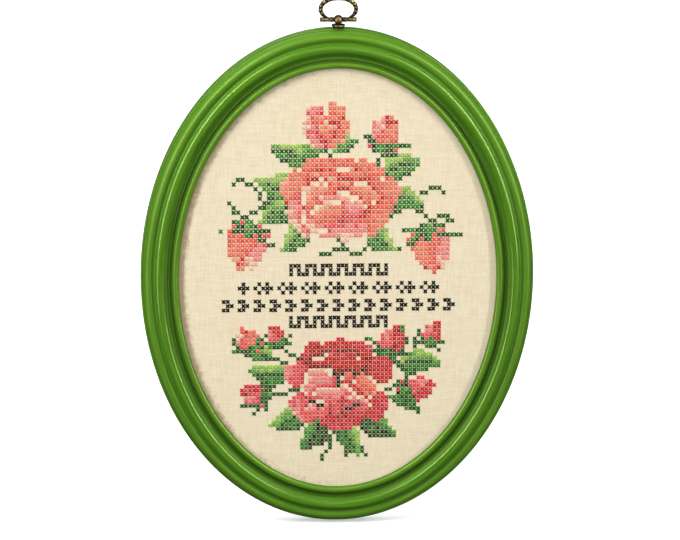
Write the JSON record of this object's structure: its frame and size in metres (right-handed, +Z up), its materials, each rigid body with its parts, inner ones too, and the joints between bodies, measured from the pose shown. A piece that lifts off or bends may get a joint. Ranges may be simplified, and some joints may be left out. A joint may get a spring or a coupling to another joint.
{
  "type": "cross stitch sampler cloth in an oval frame",
  "caption": "Cream linen cloth cross stitched with rose sprays and dark bands, stretched in an oval moulded green frame that hangs on a wall by a brass ring.",
  "frame": {"origin": "top of the inside of the hanging ring, in the ring's plane, where a wall hook carries it", "axes": "+Z up along the oval's long axis, -Y out of the front of the picture, +Y towards the wall, +X to the viewer's right"},
  "size_m": [0.2676, 0.0184, 0.3661],
  "materials": {
    "green_lacquer": "turned wood under a glossy, faintly streaked green lacquer",
    "cream_linen": "plain woven cream linen with cross stitches in floss",
    "old_brass": "antique brass, dark in the recesses and rubbed bright on the high spots"
  },
  "bodies": {
    "root": {"frame_moulding": "green_lacquer", "linen_cloth": "cream_linen", "hanger_post": "old_brass", "hanger_ring": "old_brass", "hanger_pin": "old_brass"}
  },
  "joints": []
}
